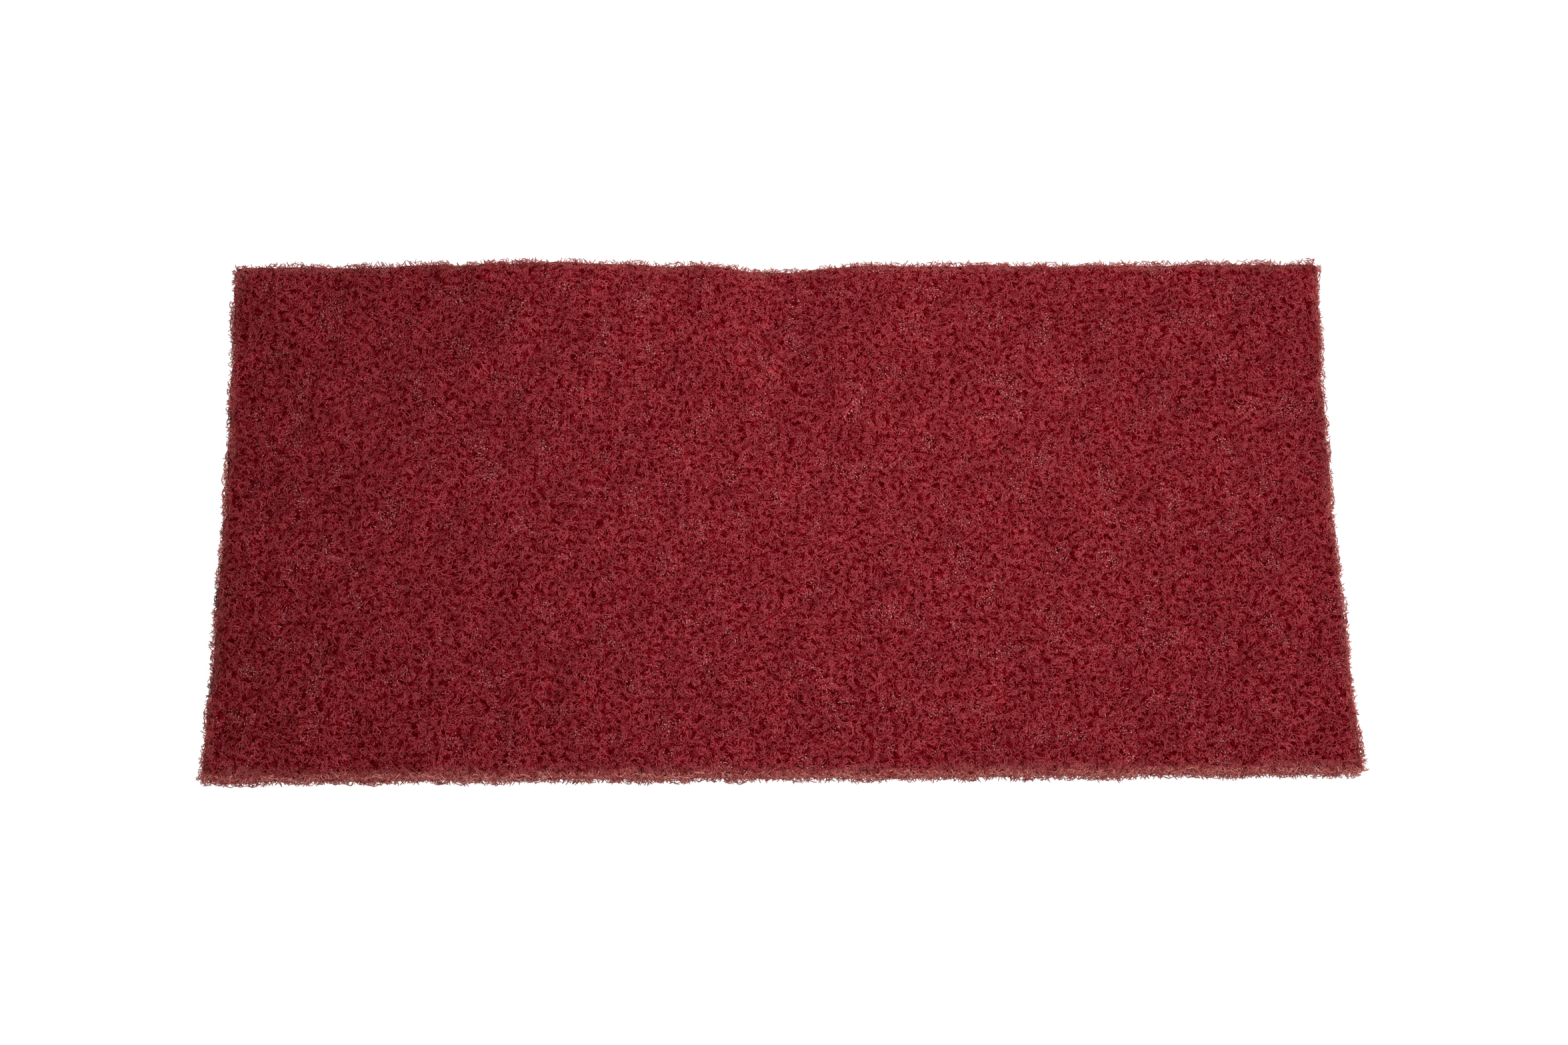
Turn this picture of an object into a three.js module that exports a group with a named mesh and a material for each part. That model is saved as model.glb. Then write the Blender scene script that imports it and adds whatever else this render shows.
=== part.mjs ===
// A rectangular scouring pad, cut from one lofty nonwoven web of crimped nylon fibres.
// It lies on its underside. Millimetres, +Z up, +X along the pad, the origin under the middle of the pad's box.
import * as THREE from "three";
import { mergeVertices } from "three/addons/utils/BufferGeometryUtils.js";

// The cut size of the web.
const padLength = 250;
const padWidth = 120;
const webLoft = 8;

// The far long edge has sprung up off the surface, in a low crest beside a valley that touches down.
const cornerLift = 2;
const crestLift = 2.5;
const crestFromLeft = 68;
const crestReach = 42;
const valleyFromLeft = 126;
const valleyReach = 19;
const liftedStrip = 46;

// The two short cuts bow inwards, the far cut is nicked at the valley, and every cut is ragged.
const leftBow = 0.9;
const rightBow = 1.2;
const farNick = 0.8;
const cutRoughness = 0.9;
const cutLayers = 3;

// Tufts stand out of both faces of the web, a little off an even spacing, and open pits sink into a share of them.
const tuftPitch = 4;
const tuftScatter = 1.2;
const tuftHeight = 0.5;
const pitDepth = 1.1;
const pitShare = 0.4;

// The cut squeezes the web's rim, so its arrises are lower and rounder than the faces.
const rimSqueeze = 0.6;
const rimStrip = 5;

// The pad stands on three tufts of its underside: one in each near corner and one under the valley.
const footDepth = 0.15;
const footInset = 8;

const nylonRed = 0x771e23;

// Each use of chance has its own run of seeds.
const seedRuns = { underside: 1, topFace: 2, tufts: 3, scatterX: 4, scatterY: 5, cuts: 6 };
const seedsPerRow = 1000;
const seedsPerRun = 1000000;

// A repeatable number from 0 to 1 for a point of the web's grid.
function chance(i, j, run) {
  return THREE.MathUtils.seededRandom(i + j * seedsPerRow + run * seedsPerRun);
}

// A smooth bump: 1 at its centre, 0 from its reach outwards.
function bump(distance, reach) {
  return 1 - THREE.MathUtils.smoothstep(Math.abs(distance), 0, reach);
}

// How far the web is off the surface at a place.
function liftAt(x, y) {
  const strip = THREE.MathUtils.smoothstep(y, padWidth / 2 - liftedStrip, padWidth / 2);
  const fromLeft = x + padLength / 2;
  const crest = crestLift * bump(fromLeft - crestFromLeft, crestReach);
  const valley = cornerLift * bump(fromLeft - valleyFromLeft, valleyReach);
  return strip * (cornerLift + crest - valley);
}

// How much lower the rim's arrises are than the faces, by the distance to the nearest cut.
function squeezeAt(x, y) {
  const toCut = Math.min(padLength / 2 - Math.abs(x), padWidth / 2 - Math.abs(y));
  return rimSqueeze * bump(toCut, rimStrip);
}

// How far a point of a cut lies inside the straight outline, along X and along Y.
function cutInset(x, y, i, j, k) {
  const onShortCut = Math.abs(x) >= padLength / 2;
  const onLongCut = Math.abs(y) >= padWidth / 2;
  const ragged = cutRoughness * chance(i, j, seedRuns.cuts + k);
  const bow = (x < 0 ? leftBow : rightBow) * (1 - (y / (padWidth / 2)) ** 2);
  const nick = y > 0 ? farNick * bump(x + padLength / 2 - valleyFromLeft, valleyReach) : 0;
  return { x: onShortCut ? bow + ragged : 0, y: onLongCut ? nick + ragged : 0 };
}

// How far a tuft stands off the even spacing, along X and along Y. The cuts keep their line.
function scatterAt(x, y, i, j) {
  const inside = Math.abs(x) < padLength / 2 && Math.abs(y) < padWidth / 2;
  const most = inside ? tuftScatter : 0;
  return {
    x: most * (2 * chance(i, j, seedRuns.scatterX) - 1),
    y: most * (2 * chance(i, j, seedRuns.scatterY) - 1),
  };
}

// How deep a face's pit is at a point of the grid. Most points have none.
function pitAt(i, j, run) {
  const roll = chance(i, j, run);
  return roll < pitShare ? pitDepth * (1 - roll / pitShare) : 0;
}

// Whether a place of the underside is one of the three tufts that the pad stands on.
function isFoot(x, y, pitch) {
  const nearFoot = new THREE.Vector2(padLength / 2 - footInset, footInset - padWidth / 2);
  const farFoot = new THREE.Vector2(valleyFromLeft - padLength / 2, padWidth / 2 - footInset);
  const onNear = nearFoot.distanceTo(new THREE.Vector2(Math.abs(x), y)) < pitch / 2;
  const onFar = farFoot.distanceTo(new THREE.Vector2(x, y)) < pitch / 2;
  return onNear || onFar;
}

// The web: a box of fine panels, whose corners move to the tufts, the pits, the wave and the cuts.
function webGeometry() {
  const columns = Math.round(padLength / tuftPitch);
  const rows = Math.round(padWidth / tuftPitch);
  const box = new THREE.BoxGeometry(padLength, padWidth, webLoft, columns, rows, cutLayers);
  box.deleteAttribute("normal");
  box.deleteAttribute("uv");
  const web = mergeVertices(box);
  const place = web.attributes.position;
  for (let n = 0; n < place.count; n += 1) {
    const x = place.getX(n);
    const y = place.getY(n);
    let height = place.getZ(n) + webLoft / 2;
    const i = Math.round((x / padLength + 0.5) * columns);
    const j = Math.round((y / padWidth + 0.5) * rows);
    const k = Math.round((height / webLoft) * cutLayers);
    if (k === 0 && !isFoot(x, y, tuftPitch)) {
      height += footDepth + pitAt(i, j, seedRuns.underside) + squeezeAt(x, y);
    }
    if (k === cutLayers) {
      const tuftGap = tuftHeight * chance(i, j, seedRuns.tufts);
      height -= tuftGap + pitAt(i, j, seedRuns.topFace) + squeezeAt(x, y);
    }
    const inset = cutInset(x, y, i, j, k);
    const off = scatterAt(x, y, i, j);
    const newX = x - Math.sign(x) * inset.x + off.x;
    const newY = y - Math.sign(y) * inset.y + off.y;
    place.setXYZ(n, newX, newY, height + liftAt(x, y));
  }
  web.computeBoundingBox();
  const middle = web.boundingBox.getCenter(new THREE.Vector3());
  web.translate(-middle.x, -middle.y, -web.boundingBox.min.z);
  web.computeVertexNormals();
  return web;
}

const nylonWeb = new THREE.MeshStandardMaterial({ color: nylonRed, roughness: 0.85, metalness: 0 });
const scouringPad = new THREE.Mesh(webGeometry(), nylonWeb);
scouringPad.name = "scouring_pad";

const part = new THREE.Group();
part.add(scouringPad);

export default part;
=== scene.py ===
# A nylon scouring pad, cut from a lofty nonwoven web of crimped maroon fibres and lying on its underside.
# Metres, +Z up, +X along the pad. Lengths are written in millimetres and multiplied by mm.
import math

import bmesh
import bpy
import numpy as np
from mathutils import Matrix, Vector
from mathutils.bvhtree import BVHTree


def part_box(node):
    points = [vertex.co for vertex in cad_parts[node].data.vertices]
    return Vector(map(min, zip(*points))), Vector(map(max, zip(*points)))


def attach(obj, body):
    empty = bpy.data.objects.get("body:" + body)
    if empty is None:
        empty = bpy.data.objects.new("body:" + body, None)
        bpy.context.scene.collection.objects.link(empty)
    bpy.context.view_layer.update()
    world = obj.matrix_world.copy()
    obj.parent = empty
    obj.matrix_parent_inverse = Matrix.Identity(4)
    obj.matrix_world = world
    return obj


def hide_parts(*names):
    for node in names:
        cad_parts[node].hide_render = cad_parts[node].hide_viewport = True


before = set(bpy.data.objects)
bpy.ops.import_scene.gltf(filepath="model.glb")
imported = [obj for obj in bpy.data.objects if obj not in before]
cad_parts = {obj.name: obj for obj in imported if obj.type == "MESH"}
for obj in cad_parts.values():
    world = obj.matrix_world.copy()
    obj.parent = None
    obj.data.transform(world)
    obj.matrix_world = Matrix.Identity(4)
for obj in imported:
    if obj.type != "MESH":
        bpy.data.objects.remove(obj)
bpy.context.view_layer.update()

# The camera
# It looks down on the pad from the near long side, a touch from the left and a little rolled.
mm = 0.001
camera_elevation = math.radians(70.4)
camera_azimuth = math.radians(-3.79)
camera_roll = math.radians(3.26)
camera_distance = 530.8 * mm
camera_aim = Vector((0.65 * mm, -0.25 * mm, 0))
lens_length = 54.06
sensor_width = 36
nearest_seen = 10 * mm

camera_data = bpy.data.cameras.new("camera")
camera_data.lens = lens_length
camera_data.sensor_width = sensor_width
camera_data.sensor_fit = "HORIZONTAL"
camera_data.clip_start = nearest_seen
camera = bpy.data.objects.new("camera", camera_data)
bpy.context.scene.collection.objects.link(camera)
camera_turn = (
    Matrix.Rotation(camera_azimuth, 4, "Z")
    @ Matrix.Rotation(math.pi / 2 - camera_elevation, 4, "X")
    @ Matrix.Rotation(camera_roll, 4, "Z")
)
camera_back = camera_turn.to_3x3() @ Vector((0, 0, 1))
camera.matrix_world = Matrix.Translation(camera_aim + camera_back * camera_distance) @ camera_turn
bpy.context.scene.camera = camera

# The body of the web
# The real web is one batt of crimped nylon staple, sprayed with resin and grit and cured, so it has no skin.
# This piece is its shaded inside. It lies just under the outermost fibres of both faces, shows in their gaps
# and fills the four cuts. Its dark crimson and its darker deep strands are painted shade of the web's depths,
# and on the cuts its strands are painted lighter for the light that falls there.
body_sink = 0.8 * mm
cut_rise = 0.2 * mm
weld_distance = 0.001 * mm
# Painted shade: the dark crimson between the strands stands for the shade deep inside the web.
gap_shade_crimson = (0.06, 0.0, 0.0005, 1)
# Painted light: the cuts are painted a lighter salmon, for the light that falls on them from the side and
# from the floor.
cut_lit_salmon = (0.60, 0.16, 0.15, 1)
most_cut_light = 0.65
cut_light_from = 0.3
cut_light_full = 0.8
web_roughness = 0.8
web_shine = 0.0

# The strands of its shade: their spacing, their width, and how they come and go. Nearly all of a noise's
# values lie between noise_low and noise_high, with their middle at one half.
slope_step = 0.02 * mm
strand_detail = 1.5
strand_length = 1.7
strand_rim = 1.25
strand_core = 0.6
strand_appears = 0.43
strand_whole = 0.49
lower_strand = 0.8
strand_bump = 0.8
strand_relief = 0.15 * mm
noise_middle = (0.5, 0.5, 0.5)
noise_low = 0.3
noise_high = 0.7
# Painted shade: the deep tangle is darker than the open one, and in each tangle the lower strand sets are
# darker than the upper, for the shade of depth.
shaded_deep_tangle = {
    "spacing": 0.60 * mm,
    "width": 0.16 * mm,
    "shift": (0.31, 0.17, 0),
    "colours": ((0.09, 0.0, 0.001, 1), (0.13, 0.0005, 0.003, 1), (0.18, 0.003, 0.008, 1)),
}
open_tangle = {
    "spacing": 0.80 * mm,
    "width": 0.17 * mm,
    "shift": (0.72, 0.44, 0),
    "colours": ((0.25, 0.009, 0.016, 1), (0.34, 0.026, 0.036, 1), (0.46, 0.068, 0.082, 1)),
}

# Its pale specks, partly grit and partly painted glints of light on the resin, and the slow mottling of the
# whole web.
speck_spacing = 0.33 * mm
grit_and_glint_colour = (0.66, 0.46, 0.42, 1)
speck_edge = 0.05
few_specks = 0.87
many_specks = 0.75
cluster_spacing = 7 * mm
cluster_from = 0.52
cluster_full = 0.72
mottle_spacing = 13 * mm
mottle_detail = 2
mottle_dark = 0.93
mottle_light = 1.07


def new_object(name, mesh, material):
    """A piece in the scene that wears one material."""
    piece = bpy.data.objects.new(name, mesh)
    bpy.context.scene.collection.objects.link(piece)
    piece.data.materials.clear()
    piece.data.materials.append(material)
    return piece


def new_material(name):
    """A material, its nodes and its shader, ready to be wired."""
    material = bpy.data.materials.new(name)
    material.use_nodes = True
    nodes = material.node_tree.nodes
    return material, nodes, material.node_tree.links, nodes["Principled BSDF"]


def fill_socket(links, socket, value):
    """Gives an input its value: wired from another socket, or written out."""
    if isinstance(value, bpy.types.NodeSocket):
        links.new(value, socket)
    else:
        socket.default_value = value


def add_math(nodes, links, operation, first, second):
    """One math node of two inputs, each a socket or a number."""
    node = nodes.new("ShaderNodeMath")
    node.operation = operation
    fill_socket(links, node.inputs[0], first)
    fill_socket(links, node.inputs[1], second)
    return node.outputs[0]


def add_noise(nodes, links, place, spacing, detail, dimensions="2D"):
    """A smooth noise whose lumps lie about a spacing apart."""
    noise = nodes.new("ShaderNodeTexNoise")
    noise.noise_dimensions = dimensions
    noise.inputs["Scale"].default_value = 1 / spacing
    noise.inputs["Detail"].default_value = detail
    links.new(place, noise.inputs["Vector"])
    return noise


def add_range(nodes, links, value, start, end, low=0.0, high=1.0):
    """A smooth ramp from one output, low, to the other, high, between two values."""
    ramp = nodes.new("ShaderNodeMapRange")
    ramp.inputs["To Min"].default_value = low
    ramp.inputs["To Max"].default_value = high
    ramp.interpolation_type = "SMOOTHSTEP"
    ramp.inputs["From Min"].default_value = start
    ramp.inputs["From Max"].default_value = end
    links.new(value, ramp.inputs["Value"])
    return ramp.outputs["Result"]


def add_vector_math(nodes, links, operation, first, second):
    """One vector node of two inputs, each a socket or written out. It works on three values at once."""
    node = nodes.new("ShaderNodeVectorMath")
    node.operation = operation
    fill_socket(links, node.inputs[0], first)
    fill_socket(links, node.inputs[1], second)
    return node.outputs[0]


def add_tangle(nodes, links, place, spacing, width, shift):
    """Three random sets of curly strands of an even width, which come and go along their way.

    Each strand is a level line of a noise. Its distance is the noise's own height over the noise's slope.
    """
    start = add_vector_math(nodes, links, "ADD", place, shift)
    here = add_noise(nodes, links, start, spacing, strand_detail).outputs["Color"]
    beside = add_vector_math(nodes, links, "ADD", start, (slope_step, 0, 0))
    beside = add_noise(nodes, links, beside, spacing, strand_detail).outputs["Color"]
    above = add_vector_math(nodes, links, "ADD", start, (0, slope_step, 0))
    above = add_noise(nodes, links, above, spacing, strand_detail).outputs["Color"]
    rise_x = add_vector_math(nodes, links, "SUBTRACT", beside, here)
    rise_y = add_vector_math(nodes, links, "SUBTRACT", above, here)
    square_x = add_vector_math(nodes, links, "MULTIPLY", rise_x, rise_x)
    square_y = add_vector_math(nodes, links, "MULTIPLY", rise_y, rise_y)
    slope = add_vector_math(nodes, links, "ADD", square_x, square_y)
    level = add_vector_math(nodes, links, "SUBTRACT", here, noise_middle)
    level = add_vector_math(nodes, links, "MULTIPLY", level, level)
    distance = add_vector_math(nodes, links, "DIVIDE", level, slope)
    apart = nodes.new("ShaderNodeSeparateXYZ")
    links.new(distance, apart.inputs["Vector"])
    fading = add_noise(nodes, links, start, strand_length * spacing, 0).outputs["Color"]
    shares = nodes.new("ShaderNodeSeparateXYZ")
    links.new(fading, shares.inputs["Vector"])
    half_width = width / slope_step / 2
    rim = (strand_rim * half_width) ** 2
    core = (strand_core * half_width) ** 2
    strands = []
    for squared, share in zip(apart.outputs, shares.outputs):
        strand = add_range(nodes, links, squared, rim, core)
        shown = add_range(nodes, links, share, strand_appears, strand_whole)
        strands.append(add_math(nodes, links, "MULTIPLY", strand, shown))
    return strands


def add_colours(nodes, links, factor, first, second):
    """A colour between two, each a socket or written out."""
    mix = nodes.new("ShaderNodeMix")
    mix.data_type = "RGBA"
    fill_socket(links, mix.inputs["Factor"], factor)
    fill_socket(links, mix.inputs["A"], first)
    fill_socket(links, mix.inputs["B"], second)
    return mix.outputs["Result"]


def add_glints(nodes, links, place, dimensions):
    """Pale specks, partly grit and partly painted glints of light on the resin: the few highest tips of a
    fine noise, more of them in clusters.
    """
    fine = add_noise(nodes, links, place, speck_spacing, 0, dimensions).outputs["Fac"]
    clusters = add_noise(nodes, links, place, cluster_spacing, 1, dimensions).outputs["Fac"]
    needed = add_range(nodes, links, clusters, cluster_from, cluster_full, few_specks, many_specks)
    over = add_math(nodes, links, "SUBTRACT", fine, needed)
    return add_range(nodes, links, over, 0.0, speck_edge)


web_shade, nodes, links, shader = new_material("web_shade")
unrolled = nodes.new("ShaderNodeUVMap")
unrolled.uv_map = "web_map"
place = unrolled.outputs["UV"]
# Painted shade: the gaps start dark, and each later, upper strand set is drawn lighter over the ones below.
colour = gap_shade_crimson
height = 0.0
for tangle in (shaded_deep_tangle, open_tangle):
    strands = add_tangle(nodes, links, place, tangle["spacing"], tangle["width"], tangle["shift"])
    for strand, strand_colour in zip(strands, tangle["colours"]):
        colour = add_colours(nodes, links, strand, colour, strand_colour)
        lower = add_math(nodes, links, "MULTIPLY", height, lower_strand)
        height = add_math(nodes, links, "MAXIMUM", lower, strand)
# Painted light: where the body faces sideways, on the cuts, its strands are mixed towards a lighter salmon.
on_cut = nodes.new("ShaderNodeAttribute")
on_cut.attribute_name = "cut_share"
cut_painted_light = add_range(nodes, links, on_cut.outputs["Fac"], cut_light_from, cut_light_full, 0.0, most_cut_light)
lit_strands_on_cut = add_math(nodes, links, "MULTIPLY", cut_painted_light, height)
colour = add_colours(nodes, links, lit_strands_on_cut, colour, cut_lit_salmon)
# Pale specks on the body: grit, and painted glints of light on the resin.
specks = add_glints(nodes, links, place, "2D")
colour = add_colours(nodes, links, specks, colour, grit_and_glint_colour)
slow_noise = add_noise(nodes, links, place, mottle_spacing, mottle_detail).outputs["Fac"]
mottle = add_range(nodes, links, slow_noise, noise_low, noise_high, mottle_dark, mottle_light)
mottled = nodes.new("ShaderNodeVectorMath")
mottled.operation = "SCALE"
links.new(colour, mottled.inputs["Vector"])
links.new(mottle, mottled.inputs["Scale"])
links.new(mottled.outputs["Vector"], shader.inputs["Base Color"])
relief = nodes.new("ShaderNodeBump")
relief.inputs["Strength"].default_value = strand_bump
relief.inputs["Distance"].default_value = strand_relief
links.new(height, relief.inputs["Height"])
links.new(relief.outputs["Normal"], shader.inputs["Normal"])
shader.inputs["Roughness"].default_value = web_roughness
shader.inputs["Specular IOR Level"].default_value = web_shine

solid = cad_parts["scouring_pad"]
skin = bmesh.new()
skin.from_mesh(solid.data)
bmesh.ops.remove_doubles(skin, verts=skin.verts, dist=weld_distance)
skin.normal_update()
outside = BVHTree.FromBMesh(skin)
share_layer = skin.verts.layers.float.new("cut_share")
for corner in skin.verts:
    corner[share_layer] = max(abs(corner.normal.x), abs(corner.normal.y))
    corner.co.x += corner.normal.x * cut_rise
    corner.co.y += corner.normal.y * cut_rise
    corner.co.z -= corner.normal.z * body_sink
web_map = skin.loops.layers.uv.new("web_map")
for face in skin.faces:
    facing = max(range(3), key=lambda axis: abs(face.normal[axis]))
    across, up = ((1, 2), (0, 2), (0, 1))[facing]
    for loop in face.loops:
        loop[web_map].uv = (loop.vert.co[across], loop.vert.co[up])
body_mesh = bpy.data.meshes.new("web_body")
skin.to_mesh(body_mesh)
skin.free()
web_body = new_object("web_body", body_mesh, web_shade)
rounding = web_body.modifiers.new("rounding", "SUBSURF")
rounding.levels = 1
rounding.render_levels = 1
rounding.uv_smooth = "NONE"
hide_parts("scouring_pad")
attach(web_body, "root")

# The fibres of the working face
# Crimped nylon staple, about a quarter of a millimetre thick with its resin. It lies in the plane of the web,
# curls at random and dips under its neighbours. Two layers, each a piece of its own, make up the open top.
lowest, highest = (np.array(corner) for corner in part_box("scouring_pad"))
probe_pitch = 1 * mm
probe_height = 50 * mm
probe_reach = 500 * mm
rim_share = 0.98
cell_margin = 1.001
fibre_radius = 0.1 * mm
thinnest_share = 0.8
thickest_share = 1.2
end_share = 0.6
fibre_points = 13
fibre_step = 0.36 * mm
tightest_crimp = 0.3 * mm
loosest_crimp = 1.0 * mm
crimp_turns = 0.4
least_spare = -0.2 * mm
most_spare = 0.9 * mm
depth_scatter = 0.2 * mm
end_dip = 0.7 * mm
dip_sharpness = 0.4
wave_height = 0.12 * mm
wave_turn = 9
phase_spread = 7
coat_spacing = 0.6 * mm
coat_bump = 0.4
coat_relief = 0.05 * mm
coat_part = 0.5
own_part = 0.5
dark_until = 0.1
middle_at = 0.5
light_from = 0.9
map_margin = 0.1
side_pitch = 0.4
ring_slant = 0.3
thinnest_web = 4 * mm
face_layers = {
    "face_fibres_low": {"seed": 12, "count": 2680, "depth": 0.5 * mm},
    "face_fibres_high": {"seed": 13, "count": 2680, "depth": 0.25 * mm},
}

# Heights of both faces and lines of the four cuts, probed on the pad's solid.
probe_x = np.arange(lowest[0], highest[0], probe_pitch)
probe_y = np.arange(lowest[1], highest[1], probe_pitch)


def probe(origin, direction, axis, missing):
    """Where a ray meets the solid, along one axis, or the value for a miss."""
    hit = outside.ray_cast(Vector(origin), Vector(direction))[0]
    return missing if hit is None else hit[axis]


top_heights = np.array(
    [[probe((x, y, probe_height), (0, 0, -1), 2, np.nan) for y in probe_y] for x in probe_x]
)
under_heights = np.array(
    [[probe((x, y, -probe_height), (0, 0, 1), 2, np.nan) for y in probe_y] for x in probe_x]
)
too_thin = ~(top_heights - under_heights > thinnest_web)


def filled_in(heights):
    """Heights with those at the ragged rim taken from their nearest neighbours."""
    heights = np.where(too_thin, np.nan, heights)
    while np.isnan(heights).any():
        ring = np.pad(heights, 1, constant_values=np.nan)
        around = np.stack([ring[:-2, 1:-1], ring[2:, 1:-1], ring[1:-1, :-2], ring[1:-1, 2:]])
        known = ~np.isnan(around)
        mean = np.where(known, around, 0).sum(axis=0) / np.maximum(known.sum(axis=0), 1)
        heights = np.where(np.isnan(heights) & known.any(axis=0), mean, heights)
    return heights


top_heights = filled_in(top_heights)
under_heights = filled_in(under_heights)


def height_on(heights, x, y):
    """The face's height at each place, between the four nearest probes."""
    column = np.clip((x - probe_x[0]) / probe_pitch, 0, len(probe_x) - cell_margin)
    row = np.clip((y - probe_y[0]) / probe_pitch, 0, len(probe_y) - cell_margin)
    i = column.astype(int)
    j = row.astype(int)
    u = column - i
    v = row - j
    near = heights[i, j] * (1 - u) + heights[i + 1, j] * u
    far = heights[i, j + 1] * (1 - u) + heights[i + 1, j + 1] * u
    return near * (1 - v) + far * v


def cut_line(axis, side):
    """Where the web ends along each row or column of probes, at half its height there."""
    along = probe_y if axis == 0 else probe_x
    ends = []
    for t in along:
        origin = [0.0, 0.0, 0.0]
        origin[axis] = side * probe_reach
        origin[1 - axis] = t
        x, y = (side * highest[0] * rim_share, t) if axis == 0 else (t, side * highest[1] * rim_share)
        origin[2] = float(height_on(top_heights, np.array(x), np.array(y))
                          + height_on(under_heights, np.array(x), np.array(y))) / 2
        direction = [0.0, 0.0, 0.0]
        direction[axis] = -side
        ends.append(probe(origin, direction, axis, side * highest[axis]))
    return np.array(ends)


left_cut = cut_line(0, -1)
right_cut = cut_line(0, 1)
near_cut = cut_line(1, -1)
far_cut = cut_line(1, 1)


def crimped_walk(chance, count, points, step):
    """Paths in a plane, each with a random heading, that bend one way and then the other."""
    curve = 1 / chance.uniform(tightest_crimp, loosest_crimp, (count, points))
    turns = np.where(chance.random((count, points)) < crimp_turns, -1, 1)
    first_way = np.where(chance.random((count, 1)) < 0.5, -1, 1)
    way = first_way * np.cumprod(turns, axis=1)
    heading = chance.uniform(0, 2 * math.pi, (count, 1)) + np.cumsum(way * curve * step, axis=1)
    along = np.cumsum(np.cos(heading) * step, axis=1)
    across = np.cumsum(np.sin(heading) * step, axis=1)
    return along - along.mean(axis=1, keepdims=True), across - across.mean(axis=1, keepdims=True)


def scattered(chance, count, width, height):
    """Places spread evenly over a rectangle about its centre, each a little off an even grid."""
    columns = int(round(math.sqrt(count * width / height)))
    rows = int(math.ceil(count / columns))
    cells = chance.permutation(columns * rows)[:count]
    i = cells % columns
    j = cells // columns
    x = (i + chance.random(count)) / columns - 0.5
    y = (j + chance.random(count)) / rows - 0.5
    return x[:, None] * width, y[:, None] * height


def folded_back(value, low, high):
    """Values past either end turn back inside, as far as they had gone out."""
    value = np.where(value < low, 2 * low - value, value)
    return np.where(value > high, 2 * high - value, value)


def within_cuts(x, y, spare):
    """Paths that would leave the pad turn back at its cuts, apart from a little spare."""
    x = folded_back(x, np.interp(y, probe_y, left_cut) - spare, np.interp(y, probe_y, right_cut) + spare)
    y = folded_back(y, np.interp(x, probe_x, near_cut) - spare, np.interp(x, probe_x, far_cut) + spare)
    return x, y


# A low gable, whose two upper sides catch the light and whose flat base is turned down.
section_corners = ((-1, -0.5), (1, -0.5), (0, 0.6))
fibre_sides = len(section_corners)
section_data = bpy.data.curves.new("fibre_section", "CURVE")
section_data.dimensions = "3D"
section_line = section_data.splines.new("POLY")
section_line.points.add(len(section_corners) - 1)
section_line.use_cyclic_u = True
for point, (sideways, upwards) in zip(section_line.points, section_corners):
    point.co = (fibre_radius * sideways, fibre_radius * upwards, 0, 1)
fibre_section = bpy.data.objects.new("fibre_section", section_data)
bpy.context.scene.collection.objects.link(fibre_section)


def fibre_piece(name, paths, chance, material):
    """Closed three-sided tubes, one along each path. Each has its own tone and its own place on a map."""
    count, points, _ = paths.shape
    widths = chance.uniform(thinnest_share, thickest_share, (count, 1)) * np.ones((count, points))
    widths[:, [0, -1]] *= end_share
    lines = bpy.data.curves.new(name, "CURVE")
    lines.dimensions = "3D"
    lines.bevel_mode = "OBJECT"
    lines.bevel_object = fibre_section
    lines.twist_mode = "Z_UP"
    homogeneous = np.concatenate([paths, np.ones((count, points, 1))], axis=2)
    for path, path_widths in zip(homogeneous, widths):
        line = lines.splines.new("POLY")
        line.points.add(points - 1)
        line.points.foreach_set("co", path.ravel())
        line.points.foreach_set("radius", path_widths)
    strung = bpy.data.objects.new(name + "_lines", lines)
    bpy.context.scene.collection.objects.link(strung)
    bpy.context.view_layer.update()
    mesh = bpy.data.meshes.new_from_object(strung.evaluated_get(bpy.context.evaluated_depsgraph_get()))
    mesh.name = name
    bpy.data.objects.remove(strung)
    bpy.data.curves.remove(lines)
    tubes = bmesh.new()
    tubes.from_mesh(mesh)
    bmesh.ops.holes_fill(tubes, edges=tubes.edges, sides=fibre_sides)
    tubes.to_mesh(mesh)
    tubes.free()

    # A strip of the map for each fibre: along it in u, and round it in v.
    cells = math.ceil(math.sqrt(count))
    number = np.arange(len(mesh.vertices))
    fibre = number // (fibre_sides * points)
    ring = number // fibre_sides % points
    side = number % fibre_sides
    u = (fibre % cells + (ring + ring_slant * (side == 1) + ring_slant) / points) / cells
    v = (fibre // cells + map_margin + side_pitch * side) / cells
    corners = np.zeros(len(mesh.loops), dtype=int)
    mesh.loops.foreach_get("vertex_index", corners)
    while mesh.uv_layers:
        mesh.uv_layers.remove(mesh.uv_layers[0])
    strips = mesh.uv_layers.new(name="OFBake")
    strips.data.foreach_set("uv", np.stack([u, v], axis=1)[corners].ravel())
    tone = mesh.attributes.new("tone", "FLOAT", "POINT")
    tone.data.foreach_set("value", chance.random(count)[fibre])
    piece = new_object(name, mesh, material)
    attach(piece, "root")
    return piece


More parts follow.
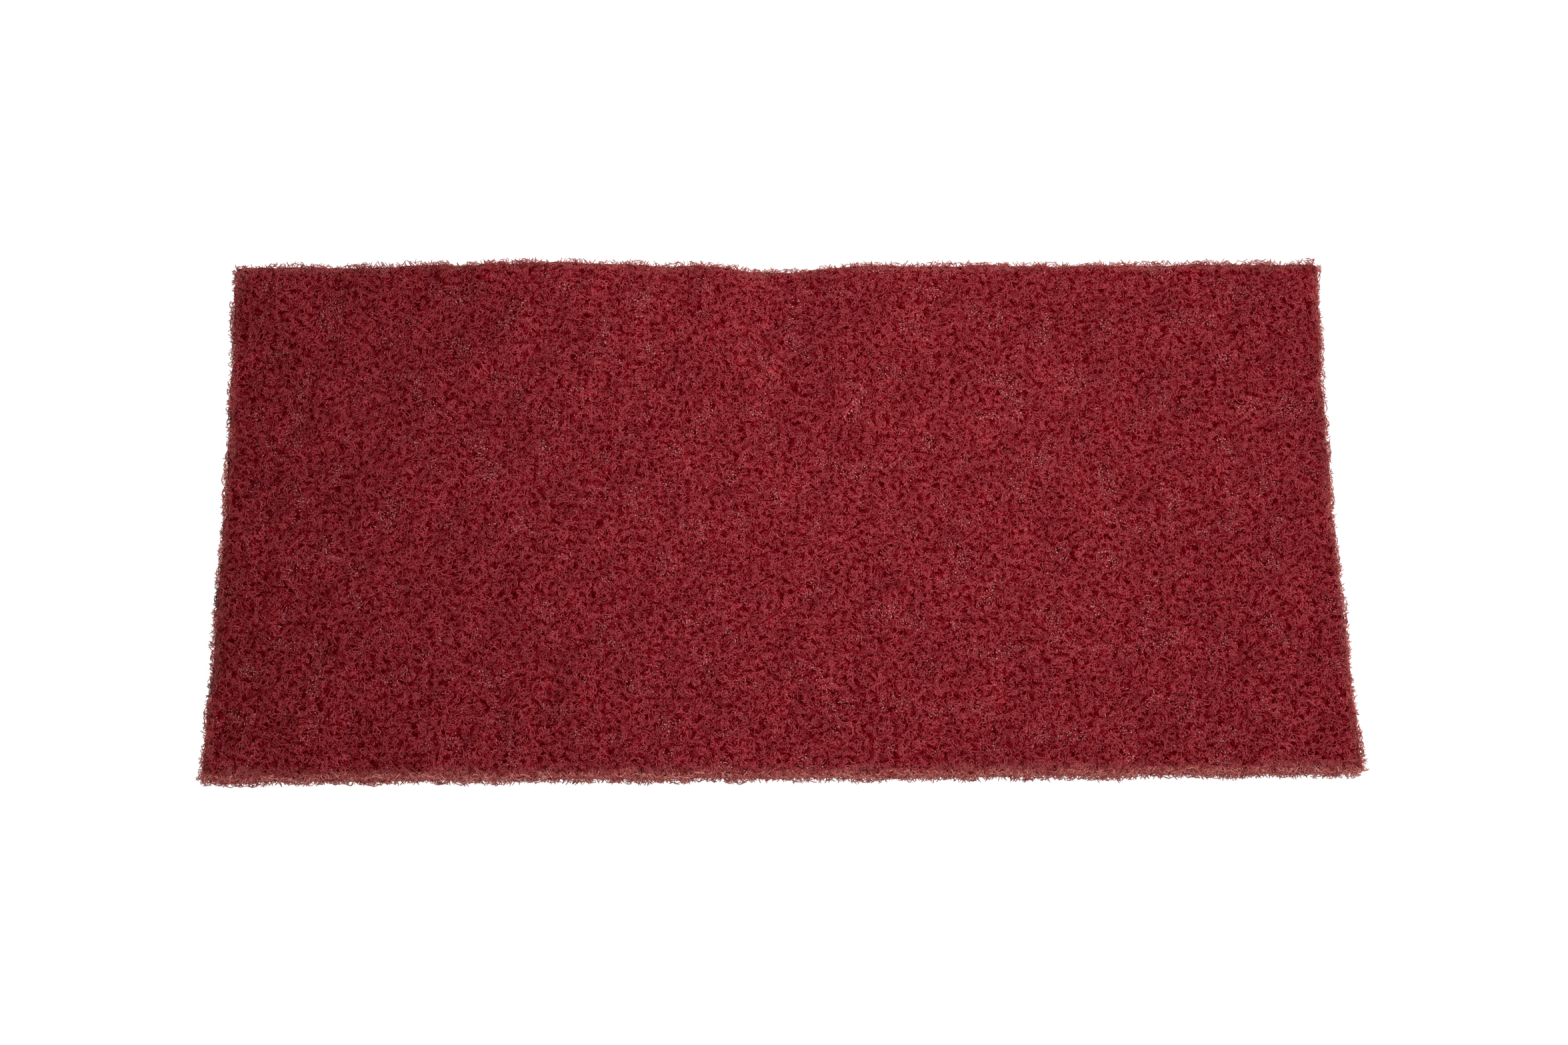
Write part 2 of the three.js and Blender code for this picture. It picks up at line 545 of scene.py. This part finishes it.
def fibre_material(name, dark, middle, light, roughness, shine):
    """Resin-coated nylon: each fibre has its own tone, and the coat varies along it."""
    material, nodes, links, shader = new_material(name)
    own_tone = nodes.new("ShaderNodeAttribute")
    own_tone.attribute_name = "tone"
    coat = nodes.new("ShaderNodeTexNoise")
    coat.inputs["Scale"].default_value = 1 / coat_spacing
    coat.inputs["Detail"].default_value = 1
    place = nodes.new("ShaderNodeTexCoord")
    links.new(place.outputs["Object"], coat.inputs["Vector"])
    coat_range = add_range(nodes, links, coat.outputs["Fac"], noise_low, noise_high)
    uneven = add_math(nodes, links, "MULTIPLY", coat_range, coat_part)
    own = add_math(nodes, links, "MULTIPLY", own_tone.outputs["Fac"], own_part)
    share = add_math(nodes, links, "ADD", own, uneven)
    tones = nodes.new("ShaderNodeValToRGB")
    tones.color_ramp.elements[0].color = dark
    tones.color_ramp.elements[0].position = dark_until
    tones.color_ramp.elements[1].color = light
    tones.color_ramp.elements[1].position = light_from
    tones.color_ramp.elements.new(middle_at).color = middle
    links.new(share, tones.inputs["Fac"])
    # Pale specks on the fibres: grit, and painted glints of light on the resin.
    specks = add_glints(nodes, links, place.outputs["Object"], "3D")
    colour = add_colours(nodes, links, specks, tones.outputs["Color"], grit_and_glint_colour)
    links.new(colour, shader.inputs["Base Color"])
    relief = nodes.new("ShaderNodeBump")
    relief.inputs["Strength"].default_value = coat_bump
    relief.inputs["Distance"].default_value = coat_relief
    links.new(coat.outputs["Fac"], relief.inputs["Height"])
    links.new(relief.outputs["Normal"], shader.inputs["Normal"])
    shader.inputs["Roughness"].default_value = roughness
    shader.inputs["Specular IOR Level"].default_value = shine
    return material


def laid_in_face(chance, count, heights, inwards, depth):
    """Paths that lie along a face at a depth, dip at both ends and undulate on the way."""
    along, across = crimped_walk(chance, count, fibre_points, fibre_step)
    start_x, start_y = scattered(chance, count, highest[0] - lowest[0], highest[1] - lowest[1])
    spare = chance.uniform(least_spare, most_spare, (count, 1))
    x, y = within_cuts(start_x + along, start_y + across, spare)
    share = np.linspace(0, 1, fibre_points)
    dip = end_dip * (1 - np.sin(math.pi * share) ** dip_sharpness)
    wave = wave_height * np.sin(share * wave_turn + chance.uniform(0, phase_spread, (count, 1)))
    deep = depth + chance.uniform(-depth_scatter, depth_scatter, (count, 1)) + dip + wave
    return np.stack([x, y, height_on(heights, x, y) + inwards * deep], axis=2)


nylon_rose = fibre_material(
    "nylon_rose",
    dark=(0.25, 0.004, 0.009, 1),
    middle=(0.38, 0.020, 0.030, 1),
    light=(0.55, 0.075, 0.09, 1),
    roughness=0.45,
    shine=0.25,
)
for name, layer in face_layers.items():
    chance = np.random.default_rng(layer["seed"])
    face_paths = laid_in_face(chance, layer["count"], top_heights, -1, layer["depth"])
    fibre_piece(name, face_paths, chance, nylon_rose)

# The fibres of the underside
# The same staple, seen from below. The pad's weight presses them flat, so they make a thinner single layer.
under_seed = 21
under_count = 1900
under_depth = 0.3 * mm
least_height = 2 * fibre_radius
chance = np.random.default_rng(under_seed)
under_paths = laid_in_face(chance, under_count, under_heights, 1, under_depth)
under_paths[:, :, 2] = np.maximum(under_paths[:, :, 2], least_height)
fibre_piece("under_fibres", under_paths, chance, nylon_rose)

# The fibres of the cuts
# The die shears the staple at all four edges, so its ends stand out there. Their lighter salmon is painted
# light, for the light that the cuts catch from the low lamps and from the white floor.
# They fill the loft from the underside to the working face and make the ragged outline.
cut_points = 12
cut_step = 0.34 * mm
deepest_in_cut = 0.2 * mm
proudest_on_cut = 0.75 * mm
end_points = 5
end_step = 0.3 * mm
end_root = 0.4 * mm
shortest_end = 0.5 * mm
longest_end = 1.2 * mm
rim_rise = 0.1 * mm
web_loft = 8 * mm
half_way = 0.5
cut_wave_height = 0.2 * mm
cut_wave_turn = 7
# Painted light: the same nylon as nylon_rose, painted lighter for the light that the cuts catch.
nylon_lit_salmon = fibre_material(
    "nylon_lit_salmon",
    dark=(0.42, 0.055, 0.052, 1),
    middle=(0.60, 0.15, 0.13, 1),
    light=(0.78, 0.34, 0.30, 1),
    roughness=0.45,
    shine=0.25,
)


def placed_on_cut(run, level, out, axis, side, line):
    """Paths on one cut, from their places along it, up it from 0 to 1, and out of it."""
    probes = probe_y if axis == 0 else probe_x
    run = folded_back(run, probes[0], probes[-1])
    across = np.interp(run, probes, line) + side * out
    x, y = (across, run) if axis == 0 else (run, across)
    low = height_on(under_heights, x, y) - rim_rise
    high = height_on(top_heights, x, y) + rim_rise
    z = low + folded_back(level, 0, 1) * (high - low)
    return np.stack([x, y, np.maximum(z, least_height)], axis=2)


def laid_in_cut(chance, count, axis, side, line):
    """Paths that wander over one cut, each near its own depth."""
    length = highest[1 - axis] - lowest[1 - axis]
    run, rise = crimped_walk(chance, count, cut_points, cut_step)
    start_run, start_level = scattered(chance, count, length, 1)
    phase = chance.uniform(0, phase_spread, (count, 1))
    wave = cut_wave_height * np.sin(np.linspace(0, cut_wave_turn, cut_points) + phase)
    out = chance.uniform(-deepest_in_cut, proudest_on_cut, (count, 1)) + wave
    return placed_on_cut(start_run + run, start_level + half_way + rise / web_loft, out, axis, side, line)


def ends_in_cut(chance, count, axis, side, line):
    """Short paths that curl their way out of one cut."""
    length = highest[1 - axis] - lowest[1 - axis]
    run, rise = crimped_walk(chance, count, end_points, end_step)
    start_run, start_level = scattered(chance, count, length, 1)
    tip = shortest_end + (longest_end - shortest_end) * chance.random((count, 1)) ** 2
    out = (tip + end_root) * np.linspace(0, 1, end_points) - end_root
    return placed_on_cut(start_run + run, start_level + half_way + rise / web_loft, out, axis, side, line)


cuts = (
    {"axis": 1, "side": -1, "line": near_cut, "share": 0.34},
    {"axis": 1, "side": 1, "line": far_cut, "share": 0.34},
    {"axis": 0, "side": -1, "line": left_cut, "share": 0.16},
    {"axis": 0, "side": 1, "line": right_cut, "share": 0.16},
)
cut_pieces = {
    "cut_fibres": {"seed": 31, "count": 2600, "laid": laid_in_cut},
    "cut_ends": {"seed": 32, "count": 7500, "laid": ends_in_cut},
}
for name, piece in cut_pieces.items():
    chance = np.random.default_rng(piece["seed"])
    paths = []
    for cut in cuts:
        count = int(piece["count"] * cut["share"])
        paths.append(piece["laid"](chance, count, cut["axis"], cut["side"], cut["line"]))
    fibre_piece(name, np.concatenate(paths), chance, nylon_lit_salmon)
bpy.data.objects.remove(fibre_section)

# The studio
# A plain pale floor under a plain white surround, with one soft lamp over the pad and low ones in front,
# behind and on the right.
floor_size = 3000 * mm
floor_colour = (0.85, 0.85, 0.85, 1)
seen_strength = 1.2
seen_share = 0.8
surround_strength = 0.2
lamps = {
    "top_lamp": {"place": (30, 20, 180), "size": (150, 150), "watts": 0.216},
    "front_lamp": {"place": (0, -550, 130), "size": (500, 120), "watts": 1.05},
    "back_lamp": {"place": (0, 550, 130), "size": (500, 120), "watts": 1.1},
    "right_lamp": {"place": (600, 0, 130), "size": (300, 120), "watts": 2.0},
}
floor_mesh = bpy.data.meshes.new("floor")
sheet = bmesh.new()
bmesh.ops.create_grid(sheet, x_segments=1, y_segments=1, size=floor_size / 2)
sheet.to_mesh(floor_mesh)
sheet.free()
floor_white, nodes, links, shader = new_material("floor_white")
shader.inputs["Base Color"].default_value = floor_colour
shader.inputs["Roughness"].default_value = 1
shader.inputs["Specular IOR Level"].default_value = 0
seen_white = nodes.new("ShaderNodeEmission")
seen_white.inputs["Color"].default_value = (1, 1, 1, 1)
seen_white.inputs["Strength"].default_value = seen_strength
rays = nodes.new("ShaderNodeLightPath")
seen = add_math(nodes, links, "MAXIMUM", rays.outputs["Is Camera Ray"], rays.outputs["Is Glossy Ray"])
seen = add_math(nodes, links, "MAXIMUM", seen, rays.outputs["Is Transmission Ray"])
seen = add_math(nodes, links, "MULTIPLY", seen, seen_share)
mixed = nodes.new("ShaderNodeMixShader")
links.new(seen, mixed.inputs["Fac"])
links.new(shader.outputs["BSDF"], mixed.inputs[1])
links.new(seen_white.outputs["Emission"], mixed.inputs[2])
links.new(mixed.outputs["Shader"], nodes["Material Output"].inputs["Surface"])
floor = new_object("floor", floor_mesh, floor_white)

world = bpy.data.worlds.new("surround")
bpy.context.scene.world = world
world.use_nodes = True
surround = world.node_tree.nodes["Background"]
surround.inputs["Color"].default_value = (1, 1, 1, 1)
surround.inputs["Strength"].default_value = surround_strength

for name, kit in lamps.items():
    lamp_data = bpy.data.lights.new(name, "AREA")
    lamp_data.shape = "RECTANGLE"
    lamp_data.size = kit["size"][0] * mm
    lamp_data.size_y = kit["size"][1] * mm
    lamp_data.energy = kit["watts"]
    lamp = bpy.data.objects.new(name, lamp_data)
    lamp.location = Vector(kit["place"]) * mm
    lamp.rotation_euler = lamp.location.to_track_quat("Z", "Y").to_euler()
    lamp.visible_camera = False
    bpy.context.scene.collection.objects.link(lamp)

bpy.context.scene.view_settings.view_transform = "Standard"
